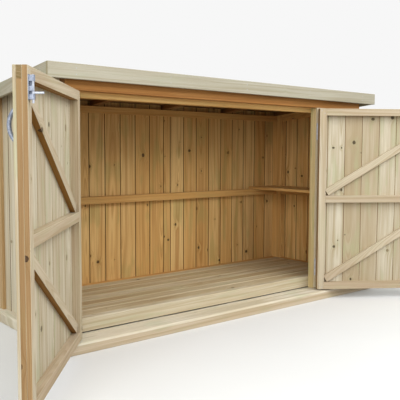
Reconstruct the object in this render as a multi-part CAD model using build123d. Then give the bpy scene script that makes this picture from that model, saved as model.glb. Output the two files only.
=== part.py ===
from build123d import *
import math
import os

# Lean-to timber bike store: a pent roof, a closed timber body with a wide doorway on the left of its
# front, a fixed front panel to the right of it, and a pair of framed, ledged and braced doors.
# Millimetres, +Z up, the front faces -Y. The origin is on the ground at the centre of the footprint.

# Base of flat bearers laid on the ground
base_length = 2368.0
base_depth = 931.0
bearer_height = 55.0
bearer_width = 145.0
bearer_edge_radius = 12.0
cross_bearer_width = 70.0
cross_bearer_spacing = 540.0
side_ledge = 57.0
front_ledge = 82.5
back_ledge = 64.0

# Timber stock
board_thickness = 12.0
post_size = 45.0
rail_width = 45.0
wall_frame_depth = 45.0
joint_gap = 0.3

# Floor and sill
sill_height = 75.0
sill_edge_radius = 6.0
floor_board_thickness = 16.0
joist_width = 45.0

# Doorway and doors
left_jamb_width = 12.0
opening_width = 1793.5
head_overlap = 21.0
hinge_gap = 5.0
meeting_gap = 6.0
stop_gap = 5.0
leaf_height = 1180.0
leaf_bottom_gap = 8.0
leaf_top_gap = 8.0
leaf_frame_depth = 38.0
leaf_member_width = 45.0
mid_rail_height = 616.0
brace_width = 45.0
brace_depth = 26.0
brace_clearance = 0.3
left_rest_angle = 129.2
right_rest_angle = 145.7

# Butt hinges
hinge_length = 110.0
hinge_from_top = 147.0
hinge_from_bottom = 139.0
knuckle_radius = 4.0
knuckle_count = 5
knuckle_play = 0.4
pin_radius = 2.0
pin_clearance = 0.3
pin_stand_off = 4.3
flap_thickness = 1.8
flap_width = 34.0
flap_relief = 0.3

# Bow handle on the left door
handle_centre_height = 986.0
handle_length = 172.0
handle_bow_span = 126.0
handle_bow_height = 28.0
handle_bar_radius = 6.0
handle_foot_width = 24.0
handle_foot_thickness = 3.0
handle_edge_distance = 60.0

# Tower bolt on the inner face of the left door
bolt_edge_distance = 15.0
bolt_plate_width = 26.0
bolt_plate_height = 84.0
bolt_plate_thickness = 2.0
bolt_rod_radius = 4.0
bolt_stand_off = 14.0
bolt_upper_bridge = 20.0
bolt_lower_bridge = 17.0
bolt_bridge_inset = 2.0
bolt_bridge_wall = 2.6
bolt_running_clearance = 0.4
bolt_rod_length = 94.0
bolt_top_gap = 9.0
bolt_travel = 28.0
bolt_knob_radius = 4.0
bolt_knob_reach = 50.0
bolt_knob_drop = 60.0
bolt_knob_clearance = 2.0
bolt_cheek_rise = 2.0
bolt_hole_clearance = 2.5
bolt_hole_spare = 8.0

# Shelf in the right-hand end
shelf_width = 308.0
shelf_thickness = 18.0
wall_mid_rail_top = 679.0
notch_clearance = 1.0

# Pent roof, falling to the back
header_height = 95.0
roof_angle = 5.4
front_overhang = 49.5
side_overhang = 109.0
back_overhang = 100.0
fascia_height = 72.0
fascia_thickness = 20.0
felt_set_down = 5.0
felt_thickness = 3.0
deck_thickness = 12.0
rafter_depth = 32.0
rafter_width = 45.0
rafter_count = 5

# Corner trims at the back
trim_width = 45.0
trim_thickness = 20.0

# Places worked out from the sizes above
leaf_thickness = leaf_frame_depth + board_thickness
front_depth = leaf_thickness + stop_gap
base_x = base_length / 2
base_y = base_depth / 2
wall_x = base_x - side_ledge
front_y = -base_y + front_ledge
stop_y = front_y + front_depth
post_back_y = stop_y + post_size
back_y = base_y - back_ledge
back_board_y = back_y - board_thickness
back_frame_y = back_board_y - wall_frame_depth
side_board_x = wall_x - board_thickness
side_frame_x = side_board_x - wall_frame_depth
floor_top = bearer_height + sill_height
leaf_bottom = bearer_height + leaf_bottom_gap
leaf_top = leaf_bottom + leaf_height
header_bottom = leaf_top + leaf_top_gap
head_rail_bottom = leaf_top - head_overlap
left_jamb_x = -wall_x + left_jamb_width
right_jamb_x = left_jamb_x + opening_width
left_pin_x = left_jamb_x + hinge_gap / 2
right_pin_x = right_jamb_x - hinge_gap / 2
pin_y = front_y - pin_stand_off
leaf_width = (opening_width - 2 * hinge_gap - meeting_gap) / 2
roof_slope = math.tan(math.radians(roof_angle))
roof_front_y = front_y - front_overhang
roof_back_y = back_y + back_overhang
roof_x = wall_x + side_overhang
deck_front_y = roof_front_y + fascia_thickness
deck_back_y = roof_back_y - fascia_thickness


def deck_underside(y):
    return header_bottom + header_height - roof_slope * (y - front_y)


def rafter_underside(y):
    return deck_underside(y) - rafter_depth


def deck_top(y):
    return deck_underside(y) + deck_thickness


def felt_top(y):
    return deck_top(y) + felt_thickness


def edge_top(y):
    return felt_top(y) + felt_set_down


def edge_bottom(y):
    return edge_top(y) - fascia_height


def block(x0, x1, y0, y1, z0, z1):
    """A squared timber between two opposite corners."""
    return Pos((x0 + x1) / 2, (y0 + y1) / 2, (z0 + z1) / 2) * Box(x1 - x0, y1 - y0, z1 - z0)


def sloped_block(x0, x1, y0, y1, lower, upper):
    """A timber whose underside and top are given as heights along the depth of the store."""
    outline = Polyline((y0, lower(y0)), (y1, lower(y1)), (y1, upper(y1)), (y0, upper(y0)), close=True)
    return Pos(x0, 0, 0) * extrude(Plane.YZ * make_face(outline), x1 - x0)


def level(height):
    return lambda y: height


def write(name, *solids):
    export_step(Compound(children=list(solids)) if len(solids) > 1 else solids[0], f"parts/{name}.step")


# Base: two long bearers with a rounded outer edge, two end bearers and the cross bearers between them
def long_bearer(outer_y, inner_y):
    bearer = block(-base_x, base_x, min(outer_y, inner_y), max(outer_y, inner_y), 0, bearer_height)
    outer_edges = bearer.edges().filter_by(Axis.X).filter_by_position(Axis.Z, bearer_height, bearer_height)
    outer_edge = outer_edges.sort_by(Axis.Y)[0 if outer_y < inner_y else -1]
    return fillet(outer_edge, bearer_edge_radius)


def end_bearer(side):
    outer_x = side * base_x
    inner_x = side * (base_x - bearer_width)
    reach_y = base_y - bearer_width
    bearer = block(min(outer_x, inner_x), max(outer_x, inner_x), -reach_y, reach_y, 0, bearer_height)
    outer_edges = bearer.edges().filter_by(Axis.Y).filter_by_position(Axis.Z, bearer_height, bearer_height)
    outer_edge = outer_edges.sort_by(Axis.X)[0 if side < 0 else -1]
    return fillet(outer_edge, bearer_edge_radius)


def cross_bearer(x):
    half = cross_bearer_width / 2
    reach_y = base_y - bearer_width
    return block(x - half, x + half, -reach_y, reach_y, 0, bearer_height)


def base_nodes():
    write("base_bearer_front", long_bearer(-base_y, -base_y + bearer_width))
    write("base_bearer_back", long_bearer(base_y, base_y - bearer_width))
    write("base_bearer_left", end_bearer(-1))
    write("base_bearer_right", end_bearer(1))
    spacing = cross_bearer_spacing
    write("base_bearers_cross", *[cross_bearer(place * spacing) for place in (-1, 0, 1)])


# Floor: joists over the bearers, a smooth sill along the front, and boards laid lengthwise
def sill(x0, x1):
    rail = block(x0, x1, stop_y, post_back_y, bearer_height, floor_top)
    top_edges = rail.edges().filter_by(Axis.X).filter_by_position(Axis.Z, floor_top, floor_top)
    return fillet(top_edges.sort_by(Axis.Y)[0], sill_edge_radius)


def floor_nodes():
    joist_top = floor_top - floor_board_thickness
    end_joist = side_frame_x - joist_width / 2
    joist_places = [-end_joist, -cross_bearer_spacing, 0, cross_bearer_spacing, end_joist]
    joists = []
    for x in joist_places:
        x0 = x - joist_width / 2
        joists.append(block(x0, x0 + joist_width, post_back_y, back_frame_y, bearer_height, joist_top))
    write("floor_joists", *joists)
    write("floor_boards", block(-side_frame_x, side_frame_x, post_back_y, back_frame_y, joist_top, floor_top))
    post_x = side_board_x - post_size
    write("sill_rail_front", sill(-post_x, post_x))


# Front frame: posts that the doors close against, the head rail between them and the header above
def front_post(x0):
    return sloped_block(x0, x0 + post_size, stop_y, post_back_y, level(bearer_height), rafter_underside)


def head_rail(x0, x1):
    x0 = x0 + joint_gap
    x1 = x1 - joint_gap
    return sloped_block(x0, x1, stop_y, post_back_y, level(head_rail_bottom), rafter_underside)


def bolt_place():
    """Where the bolt's rod stands when the left door is closed."""
    x = left_pin_x + hinge_gap / 2 + leaf_width - bolt_edge_distance
    return x, stop_y - stop_gap + bolt_stand_off


def front_frame_nodes():
    post_x = side_board_x - post_size
    write("post_front_left", front_post(-side_board_x))
    write("post_front_right", front_post(post_x))
    hole_x, hole_y = bolt_place()
    hole_top = head_rail_bottom - bolt_top_gap + bolt_travel + bolt_hole_spare
    hole_depth = hole_top - head_rail_bottom
    hole = Pos(hole_x, hole_y, head_rail_bottom + hole_depth / 2) * Cylinder(
        bolt_rod_radius + bolt_hole_clearance, hole_depth
    )
    write("head_rail_front", head_rail(-post_x, post_x) - hole)
    write(
        "header_board",
        sloped_block(-wall_x, wall_x, front_y, stop_y, level(header_bottom), deck_underside),
    )
    write("jamb_left", block(-wall_x, left_jamb_x, front_y, stop_y, bearer_height, header_bottom))


# Wall frames: bottom, middle and top rails between end studs, each member its own timber
def wall_mid_rail_bottom():
    return wall_mid_rail_top - rail_width


def fixed_panel_nodes():
    frame_front = front_y + board_thickness
    inner_x0 = right_jamb_x + rail_width + joint_gap
    inner_x1 = wall_x - rail_width - joint_gap
    rail_bottoms = [bearer_height, wall_mid_rail_bottom(), header_bottom - rail_width]
    members = [
        block(right_jamb_x, right_jamb_x + rail_width, frame_front, stop_y, bearer_height, header_bottom),
        block(wall_x - rail_width, wall_x, frame_front, stop_y, bearer_height, header_bottom),
    ]
    for z in rail_bottoms:
        members.append(block(inner_x0, inner_x1, frame_front, stop_y, z, z + rail_width))
    write("fixed_panel_frame", *members)
    write(
        "fixed_panel_cladding",
        block(right_jamb_x, wall_x, front_y, frame_front, bearer_height, header_bottom),
    )


def back_panel_nodes():
    stud_x = side_board_x - rail_width
    rail_x = stud_x - joint_gap
    y0 = back_frame_y
    y1 = back_board_y

    def top_rail_bottom(y):
        return rafter_underside(y0) - rail_width

    write(
        "back_panel_frame",
        sloped_block(-side_board_x, -stud_x, y0, y1, level(bearer_height), rafter_underside),
        sloped_block(stud_x, side_board_x, y0, y1, level(bearer_height), rafter_underside),
        block(-rail_x, rail_x, y0, y1, bearer_height, floor_top),
        block(-rail_x, rail_x, y0, y1, wall_mid_rail_bottom(), wall_mid_rail_top),
        sloped_block(-rail_x, rail_x, y0, y1, top_rail_bottom, rafter_underside),
    )
    write(
        "back_panel_cladding",
        sloped_block(-wall_x, wall_x, back_board_y, back_y, level(bearer_height), deck_underside),
    )


def side_panel_nodes(side, name):
    x0, x1 = sorted((side * side_frame_x, side * side_board_x))
    y0 = post_back_y
    y1 = back_frame_y
    inner_y0 = y0 + rail_width + joint_gap
    inner_y1 = y1 - rail_width - joint_gap

    def top_rail_bottom(y):
        return rafter_underside(y) - rail_width

    write(
        f"{name}_panel_frame",
        sloped_block(x0, x1, y0, y0 + rail_width, level(bearer_height), rafter_underside),
        sloped_block(x0, x1, y1 - rail_width, y1, level(bearer_height), rafter_underside),
        block(x0, x1, inner_y0, inner_y1, bearer_height, floor_top),
        block(x0, x1, inner_y0, inner_y1, wall_mid_rail_bottom(), wall_mid_rail_top),
        sloped_block(x0, x1, inner_y0, inner_y1, top_rail_bottom, rafter_underside),
    )
    board_x0, board_x1 = sorted((side * side_board_x, side * wall_x))
    write(
        f"{name}_panel_cladding",
        sloped_block(board_x0, board_x1, stop_y, back_board_y, level(bearer_height), deck_underside),
    )


def corner_trim(side):
    """A pair of boards nailed round a back corner, under the roof boards."""
    outer_x = wall_x + trim_thickness
    outer_y = back_y + trim_thickness
    along_side = sloped_block(
        wall_x, outer_x, outer_y - trim_width, outer_y, level(bearer_height), deck_underside
    )
    along_back = sloped_block(
        outer_x - trim_width, wall_x, back_y, outer_y, level(bearer_height), deck_underside
    )
    trim = along_side + along_back
    return trim if side > 0 else mirror(trim, about=Plane.YZ)


# Roof: rafters on the rails, lengthwise boards, felt, and wide edge boards all round
def roof_nodes():
    rafters = []
    first_x = -side_board_x + rafter_width / 2
    spacing = -2 * first_x / (rafter_count - 1)
    for place in range(rafter_count):
        x = first_x + place * spacing
        x0 = x - rafter_width / 2
        x1 = x + rafter_width / 2
        rafters.append(sloped_block(x0, x1, stop_y, back_board_y, rafter_underside, deck_underside))
    write("rafters", *rafters)
    deck_x = roof_x - fascia_thickness
    write("roof_deck", sloped_block(-deck_x, deck_x, deck_front_y, deck_back_y, deck_underside, deck_top))
    write("roof_felt", sloped_block(-deck_x, deck_x, deck_front_y, deck_back_y, deck_top, felt_top))

    front_top = level(edge_top(deck_front_y))
    front_bottom = level(edge_bottom(deck_front_y))
    write(
        "fascia_front",
        sloped_block(-roof_x, roof_x, roof_front_y, deck_front_y, front_bottom, front_top),
    )
    back_top = level(edge_top(deck_back_y))
    back_bottom = level(edge_bottom(deck_back_y))
    write(
        "fascia_back",
        sloped_block(-roof_x, roof_x, deck_back_y, roof_back_y, back_bottom, back_top),
    )
    write("barge_left", sloped_block(-roof_x, -deck_x, deck_front_y, deck_back_y, edge_bottom, edge_top))
    write("barge_right", sloped_block(deck_x, roof_x, deck_front_y, deck_back_y, edge_bottom, edge_top))


# Shelf: a board notched round the studs, on the middle rails of the back, the end and the fixed panel
def shelf_nodes():
    front_x = side_board_x - shelf_width
    shelf_top = wall_mid_rail_top + shelf_thickness
    front_end_y = front_y + board_thickness
    notch_x = min(side_frame_x, side_board_x - rail_width, side_board_x - post_size) - notch_clearance
    front_notch_y = post_back_y + rail_width + notch_clearance
    back_notch_y = back_frame_y - rail_width - notch_clearance
    shelf = block(front_x, side_board_x, front_end_y, back_board_y, wall_mid_rail_top, shelf_top)
    shelf -= block(notch_x, side_board_x, front_end_y, front_notch_y, wall_mid_rail_top, shelf_top)
    shelf -= block(notch_x, side_board_x, back_notch_y, back_board_y, wall_mid_rail_top, shelf_top)
    write("shelf_board", shelf)


# Doors: each is drawn closed, then turned about its hinge pin to where it stands open
class Leaf:
    def __init__(self, side):
        self.side = side
        self.pin_x = left_pin_x if side > 0 else right_pin_x
        self.edge_x = self.pin_x + side * hinge_gap / 2
        self.frame_y = front_y + board_thickness
        self.inner_y = front_y + leaf_thickness
        angle = left_rest_angle if side > 0 else right_rest_angle
        self.turn = -side * angle

    def opened(self, solid):
        pin = Axis((self.pin_x, pin_y, 0), (0, 0, 1))
        return solid.rotate(pin, self.turn)

    def part(self, s0, s1, y0, y1, z0, z1):
        """A timber between two distances from the hinge edge."""
        x0, x1 = sorted((self.edge_x + self.side * s0, self.edge_x + self.side * s1))
        return block(x0, x1, y0, y1, z0, z1)

    def cladding(self):
        return self.part(0, leaf_width, front_y, self.frame_y, leaf_bottom, leaf_top)

    def rail_heights(self):
        middle_top = leaf_bottom + mid_rail_height
        return [leaf_bottom, middle_top - leaf_member_width, leaf_top - leaf_member_width]

    def frame(self):
        width = leaf_member_width
        y0 = self.frame_y
        y1 = self.inner_y
        members = [
            self.part(0, width, y0, y1, leaf_bottom, leaf_top),
            self.part(leaf_width - width, leaf_width, y0, y1, leaf_bottom, leaf_top),
        ]
        s0 = width + joint_gap
        s1 = leaf_width - width - joint_gap
        for z in self.rail_heights():
            members.append(self.part(s0, s1, y0, y1, z, z + width))
        return members

    def brace(self, bay_bottom, bay_top):
        """A diagonal cut square at its foot and cut to the corner of the frame at its head."""
        foot_s = leaf_member_width + brace_clearance
        head_s = leaf_width - leaf_member_width - brace_clearance
        bottom = bay_bottom + brace_clearance
        top = bay_top - brace_clearance
        rise = top - bottom
        run = head_s - foot_s
        angle = math.atan2(rise, run)
        for _ in range(20):
            foot_shift = brace_width * math.sin(angle)
            head_drop = brace_width / math.cos(angle)
            angle = math.atan2(rise - head_drop, run - foot_shift)
        slope = math.tan(angle)
        lower_s = foot_s + foot_shift
        upper_z = bottom + brace_width * math.cos(angle)
        outline = [
            (lower_s, bottom),
            (head_s, bottom + slope * (head_s - lower_s)),
            (head_s, top),
            (foot_s, upper_z),
        ]
        corners = [(self.edge_x + self.side * s, z) for s, z in outline]
        face = Plane.XZ * make_face(Polyline(*corners, close=True))
        return Pos(0, self.frame_y, 0) * extrude(face, -brace_depth)

    def braces(self):
        low, middle, high = self.rail_heights()
        width = leaf_member_width
        return [self.brace(middle + width, high), self.brace(low + width, middle)]

    def hinge_heights(self):
        return [leaf_top - hinge_from_top, leaf_bottom + hinge_from_bottom]

    def flap_across_face(self, toward, z0, z1):
        """A flap that lies on the outer face, beside the knuckles."""
        near_x = self.pin_x + toward * (knuckle_radius + flap_relief)
        x0, x1 = sorted((near_x, near_x + toward * flap_width))
        return block(x0, x1, front_y - flap_thickness, front_y, z0, z1)

    def neck_across_face(self, toward, z0, z1):
        inner_x = self.pin_x + toward * (knuckle_radius - flap_thickness)
        outer_x = self.pin_x + toward * (knuckle_radius + flap_relief)
        x0, x1 = sorted((inner_x, outer_x))
        return block(x0, x1, pin_y, front_y, z0, z1)

    def flap_behind_pin(self, toward, z0, z1):
        """A flap that lies on the side face, behind the knuckles."""
        outer_x = self.pin_x + toward * hinge_gap / 2
        x0, x1 = sorted((outer_x - toward * flap_thickness, outer_x))
        return block(x0, x1, pin_y + knuckle_radius + flap_relief, front_y + flap_width, z0, z1)

    def neck_behind_pin(self, toward, z0, z1):
        outer_x = self.pin_x + toward * hinge_gap / 2
        x0, x1 = sorted((outer_x - toward * flap_thickness, outer_x))
        return block(x0, x1, pin_y, pin_y + knuckle_radius + flap_relief, z0, z1)

    def hinge_half(self, centre_z, moving):
        """One flap of a butt hinge with its share of the knuckles; the fixed one holds the pin."""
        toward = self.side if moving else -self.side
        # The jamb beside the left door is too narrow to take a flap on its face
        behind = not moving and self.side > 0
        flap = self.flap_behind_pin if behind else self.flap_across_face
        neck = self.neck_behind_pin if behind else self.neck_across_face
        bottom = centre_z - hinge_length / 2
        half = flap(toward, bottom, bottom + hinge_length)
        pitch = hinge_length / knuckle_count
        for place in range(knuckle_count):
            if (place % 2 == 1) != moving:
                continue
            z0 = bottom + place * pitch + knuckle_play / 2
            z1 = bottom + (place + 1) * pitch - knuckle_play / 2
            middle = Pos(self.pin_x, pin_y, (z0 + z1) / 2)
            half += middle * Cylinder(knuckle_radius, z1 - z0)
            half += neck(toward, z0, z1)
        pin_place = Pos(self.pin_x, pin_y, centre_z)
        if moving:
            return half - pin_place * Cylinder(pin_radius + pin_clearance, hinge_length)
        return half + pin_place * Cylinder(pin_radius, hinge_length)


def pull_handle(leaf):
    """A round bar bent to a bow between two flat feet."""
    x = leaf.edge_x + leaf.side * (leaf_width - handle_edge_distance)
    z = leaf_bottom + handle_centre_height
    foot_y = front_y - handle_foot_thickness
    half_bow = handle_bow_span / 2
    crown_y = foot_y - handle_bow_height
    start = (x, foot_y, z - half_bow)
    arc = ThreePointArc(start, (x, crown_y, z), (x, foot_y, z + half_bow))
    section_plane = Plane(origin=start, z_dir=arc % 0)
    handle = sweep(section_plane * RegularPolygon(handle_bar_radius, 8), path=arc)
    foot_height = (handle_length - handle_bow_span) / 2 + 2 * handle_bar_radius
    for end in (-1, 1):
        foot_z = z + end * (handle_length - foot_height) / 2
        foot = Pos(x, front_y - handle_foot_thickness / 2, foot_z) * Box(
            handle_foot_width, handle_foot_thickness, foot_height
        )
        corners = foot.edges().filter_by(Axis.Y)
        handle += fillet(corners, handle_foot_width / 3)
    below_face = block(x - 50, x + 50, front_y, front_y + 50, z - handle_length, z + handle_length)
    return handle - below_face


def bolt_nodes(leaf):
    """A plate with two bridges and two cheeks that guide a round rod, whose knob is pushed up."""
    rod_x, rod_y = bolt_place()
    plate_top = head_rail_bottom - bolt_top_gap
    plate_bottom = plate_top - bolt_plate_height
    half_width = bolt_plate_width / 2
    plate_back = leaf.inner_y
    plate_front = plate_back + bolt_plate_thickness
    housing = block(
        rod_x - half_width, rod_x + half_width, plate_back, plate_front, plate_bottom, plate_top
    )
    housing = fillet(housing.edges().filter_by(Axis.Y), bolt_plate_width / 6)
    bore_radius = bolt_rod_radius + bolt_running_clearance
    arch_radius = bore_radius + bolt_bridge_wall
    bridges = [
        (plate_top - bolt_bridge_inset - bolt_upper_bridge, bolt_upper_bridge),
        (plate_bottom + bolt_bridge_inset, bolt_lower_bridge),
    ]
    for z, height in bridges:
        housing += Pos(rod_x, rod_y, z + height / 2) * Cylinder(arch_radius, height)
        housing += block(rod_x - arch_radius, rod_x + arch_radius, plate_front, rod_y, z, z + height)
    rod_top = head_rail_bottom - bolt_top_gap
    knob_z = rod_top - bolt_knob_drop
    notch = bolt_knob_radius + bolt_knob_clearance
    cheek_y = rod_y + bolt_cheek_rise
    near_x = rod_x + leaf.side * bore_radius
    far_x = rod_x + leaf.side * arch_radius
    x0, x1 = sorted((near_x, far_x))
    housing += block(x0, x1, plate_front, cheek_y, knob_z + notch, knob_z + bolt_travel - notch)
    x0, x1 = sorted((2 * rod_x - near_x, 2 * rod_x - far_x))
    housing += block(x0, x1, plate_front, cheek_y, bridges[1][0], bridges[0][0])
    bore_place = Pos(rod_x, rod_y, (plate_top + plate_bottom) / 2)
    housing -= bore_place * Cylinder(bore_radius, 2 * bolt_plate_height)
    rod_centre = rod_top - bolt_rod_length / 2
    rod = Pos(rod_x, rod_y, rod_centre) * Cylinder(bolt_rod_radius, bolt_rod_length)
    rod = chamfer(rod.faces().sort_by(Axis.Z)[-1].edges(), bolt_rod_radius / 3)
    knob_length = bolt_knob_reach - bolt_stand_off
    knob = Pos(rod_x, rod_y + knob_length / 2, knob_z) * Rot(90, 0, 0) * Cylinder(bolt_knob_radius, knob_length)
    write("bolt_housing", leaf.opened(housing))
    write("bolt_rod", leaf.opened(rod + knob))


def door_nodes():
    left = Leaf(1)
    right = Leaf(-1)
    fixed_halves = []
    for leaf, name in ((left, "left"), (right, "right")):
        write(f"door_{name}_cladding", leaf.opened(leaf.cladding()))
        write(f"door_{name}_frame", *[leaf.opened(member) for member in leaf.frame()])
        write(f"door_{name}_braces", *[leaf.opened(brace) for brace in leaf.braces()])
        moving_halves = [leaf.opened(leaf.hinge_half(z, True)) for z in leaf.hinge_heights()]
        write(f"door_{name}_hinges", *moving_halves)
        fixed_halves += [leaf.hinge_half(z, False) for z in leaf.hinge_heights()]
    write("hinges_fixed", *fixed_halves)
    write("door_left_handle", left.opened(pull_handle(left)))
    bolt_nodes(left)


os.makedirs("parts", exist_ok=True)
base_nodes()
floor_nodes()
front_frame_nodes()
fixed_panel_nodes()
back_panel_nodes()
side_panel_nodes(-1, "left")
side_panel_nodes(1, "right")
write("corner_trims", corner_trim(-1), corner_trim(1))
roof_nodes()
shelf_nodes()
door_nodes()
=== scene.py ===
import math
import random
from functools import partial

import bmesh
import bpy
from mathutils import Matrix, Vector


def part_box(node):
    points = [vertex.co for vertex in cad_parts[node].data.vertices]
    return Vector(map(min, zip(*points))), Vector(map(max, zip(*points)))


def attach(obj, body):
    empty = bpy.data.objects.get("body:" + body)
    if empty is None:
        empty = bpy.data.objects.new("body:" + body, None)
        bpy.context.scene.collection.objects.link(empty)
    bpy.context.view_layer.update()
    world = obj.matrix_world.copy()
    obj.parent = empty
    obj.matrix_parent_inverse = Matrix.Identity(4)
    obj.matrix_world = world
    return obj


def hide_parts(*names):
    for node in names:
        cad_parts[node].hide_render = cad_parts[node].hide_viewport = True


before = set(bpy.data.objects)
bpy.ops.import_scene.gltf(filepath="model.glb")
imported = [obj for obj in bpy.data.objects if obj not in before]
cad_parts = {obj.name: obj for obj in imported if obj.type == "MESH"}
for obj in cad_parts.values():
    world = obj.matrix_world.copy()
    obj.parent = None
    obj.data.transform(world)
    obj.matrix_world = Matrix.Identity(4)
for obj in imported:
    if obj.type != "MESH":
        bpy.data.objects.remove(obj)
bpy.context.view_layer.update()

# Base of flat bearers, laid on the ground: planed softwood, green-white from the pressure treatment.
# The outer top edges are rounded over, the ends are sawn square, and the inner bearers are butted
# between the long ones and nailed.
METRES = 0.001
SIDES = ((-1, "left"), (1, "right"))
ALONG_Y = Matrix(((0, 0, 1, 0), (1, 0, 0, 0), (0, 1, 0, 0), (0, 0, 0, 1)))
# Marks for the sides of a timber: dark in a joint and as painted shade in the sill's undercut, painted shade
# on undersides and on the bearers' outer faces, plain, the inner face of a wall board that takes the inner
# finish, and a worn arris
JOINT_AND_SHADE, PAINTED_SHADE, BEARER_FACE_SHADE, FLAT, INNER, WORN = 0.0, 0.25, 0.395, 0.5, 0.52, 1.0
ARRIS = 1.4
JOINT_GAP = 0.3
BEARER_WIDTH = 145.0
BEARER_ROUND = 12.0
CROSS_BEARERS = (-540.0, 0.0, 540.0)
CROSS_BEARER_WIDTH = 70.0


def srgb(red, green, blue):
    """A colour from the way it looks on a sheet of paper, in steps of 255."""
    steps = (red / 255, green / 255, blue / 255)
    return tuple(((step + 0.055) / 1.055) ** 2.4 for step in steps) + (1.0,)


def span(node):
    """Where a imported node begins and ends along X, Y and Z, in millimetres."""
    low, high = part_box(node)
    return [value / METRES for ends in zip(low, high) for value in ends]


def squared(a0, a1, t0, t1, ease=ARRIS, low=FLAT, under=FLAT, high=FLAT):
    """The section of a sawn timber with its four arrises taken off; sides marked for it take a painted brown
    shade.
    """
    return [
        (a0 + ease, t0, under), (a1 - ease, t0, WORN), (a1, t0 + ease, high), (a1, t1 - ease, WORN),
        (a1 - ease, t1, FLAT), (a0 + ease, t1, WORN), (a0, t1 - ease, low), (a0, t0 + ease, WORN),
    ]


def rounded(a0, a1, t0, t1, radius, face=FLAT, steps=6):
    """A squared section whose corner at a0, t1 is rounded over; its outer face has its own mark."""
    outline = squared(a0, a1, t0, t1)[:5]
    for step in range(steps + 1):
        angle = math.pi / 2 * (1 + step / steps)
        mark = FLAT if step < steps else face
        a, t = a0 + radius + radius * math.cos(angle), t1 - radius + radius * math.sin(angle)
        outline.append((a, t, mark))
    outline.append((a0, t0 + ARRIS, WORN))
    return outline


def begin():
    """An empty mesh whose corners say where they lay in the log and how their board looks."""
    work = bmesh.new()
    work.loops.layers.float_vector.new("Log")
    work.loops.layers.float_color.new("Board")
    return work


def add_timber(work, place, outline, x0, x1, chance, tone=None, warmth=None, bow=0.4, pieces=3):
    """One timber: its section swept along the grain between two ends that may be cut on the skew.

    Every corner keeps where it lay in the log, measured from the heart of the tree.
    """
    log = work.loops.layers.float_vector["Log"]
    board = work.loops.layers.float_color["Board"]
    near = x0 if callable(x0) else lambda a, t: x0
    far = x1 if callable(x1) else lambda a, t: x1
    tone = chance.random() if tone is None else tone
    warmth = chance.random() if warmth is None else warmth
    across = [point[0] for point in outline]
    thick = [point[1] for point in outline]
    middle_a, middle_t = (min(across) + max(across)) / 2, (min(thick) + max(thick)) / 2
    wide = max(across) - min(across)
    depth = chance.uniform(14, 60) + (max(thick) - min(thick)) / 2
    flip = chance.choice((-1, 1))
    heart_a = middle_a + chance.uniform(-0.9, 0.9) * min(wide, 90)
    lean_a, lean_t = chance.uniform(-bow, bow), chance.uniform(-bow, bow)
    first_g = near(middle_a, middle_t)
    length = far(middle_a, middle_t) - first_g
    tilt_a, tilt_t = chance.uniform(-25, 25) / length, chance.uniform(-0.4, 0.4) * depth / length
    shift = chance.uniform(0, 60)
    # Where the section stands along the timber: share of its length, step inwards, eased at the end
    stations = [(0.0, 0.0, True), (0.0, ARRIS, False)]
    stations += [(step / pieces, 0.0, False) for step in range(1, pieces)]
    stations += [(1.0, -ARRIS, False), (1.0, 0.0, True)]
    rings = []
    for share, step_in, eased in stations:
        ring = []
        for a, t, _ in outline:
            if eased:
                a = middle_a + (a - middle_a) * (1 - ARRIS / max(abs(a - middle_a), 8.0) * 0.7)
                t = middle_t + (t - middle_t) * (1 - ARRIS / max(abs(t - middle_t), 4.0) * 0.5)
            g = near(a, t) * (1 - share) + far(a, t) * share + step_in
            swell = 4 * share * (1 - share)
            at = place @ Vector((g, a + lean_a * swell, t + lean_t * swell))
            from_middle = g - first_g - length / 2
            in_log = (
                g * METRES + shift,
                (a - heart_a + tilt_a * from_middle) * METRES,
                (depth + flip * (t - middle_t) + tilt_t * from_middle) * METRES,
            )
            ring.append((work.verts.new(at * METRES), in_log))
        rings.append(ring)
    for first, second in zip(rings, rings[1:]):
        for i, (_, _, mark) in enumerate(outline):
            j = (i + 1) % len(outline)
            corners = (first[i], first[j], second[j], second[i])
            face = work.faces.new([corner[0] for corner in corners])
            for loop, (_, in_log) in zip(face.loops, corners):
                loop[log] = in_log
                loop[board] = (tone, warmth, mark, 0.0)
    for ring in (rings[0], rings[-1]):
        face = work.faces.new([vert for vert, _ in ring])
        for loop, (_, in_log) in zip(face.loops, ring):
            loop[log] = in_log
            loop[board] = (tone, warmth, FLAT, 1.0)


def finish_piece(work, name, material, slot, *nodes, body="store", inside=None, crease=32):
    """Makes the object, hands it to its body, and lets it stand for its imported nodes."""
    bmesh.ops.recalc_face_normals(work, faces=work.faces)
    mesh = bpy.data.meshes.new(name)
    mesh.materials.append(material)
    if inside:
        mesh.materials.append(inside)
        board = work.loops.layers.float_color["Board"]
        for face in work.faces:
            face.material_index = int(abs(face.loops[0][board][2] - INNER) < 0.005)
    work.to_mesh(mesh)
    work.free()
    mesh.shade_smooth()
    mesh.set_sharp_from_angle(angle=math.radians(crease))
    piece = bpy.data.objects.new(name, mesh)
    bpy.context.collection.objects.link(piece)
    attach(piece, body)
    if nodes:
        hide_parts(*nodes)
    return piece


def put(tree, kind, sockets=None, **settings):
    """A shader node with its settings, and values or links on its sockets."""
    made = tree.nodes.new(kind)
    for key, value in settings.items():
        setattr(made, key, value)
    for key, value in (sockets or {}).items():
        if isinstance(value, bpy.types.NodeSocket):
            tree.links.new(value, made.inputs[key])
        else:
            made.inputs[key].default_value = value
    return made


def sum_of(tree, operation, *values):
    """One step of arithmetic on values that change over the surface."""
    return put(tree, "ShaderNodeMath", dict(enumerate(values)), operation=operation).outputs[0]


def ramp(tree, value, low, high, to_low=0.0, to_high=1.0):
    """A value eased from one pair of limits to another."""
    sockets = {"Value": value, "From Min": low, "From Max": high, "To Min": to_low, "To Max": to_high}
    return put(tree, "ShaderNodeMapRange", sockets, interpolation_type="SMOOTHSTEP").outputs[0]


def tint(tree, share, first, second, blend="MIX"):
    """One colour laid over another."""
    sockets = {0: share, 6: first, 7: second}
    return put(tree, "ShaderNodeMix", sockets, data_type="RGBA", blend_type=blend).outputs[2]


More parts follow.
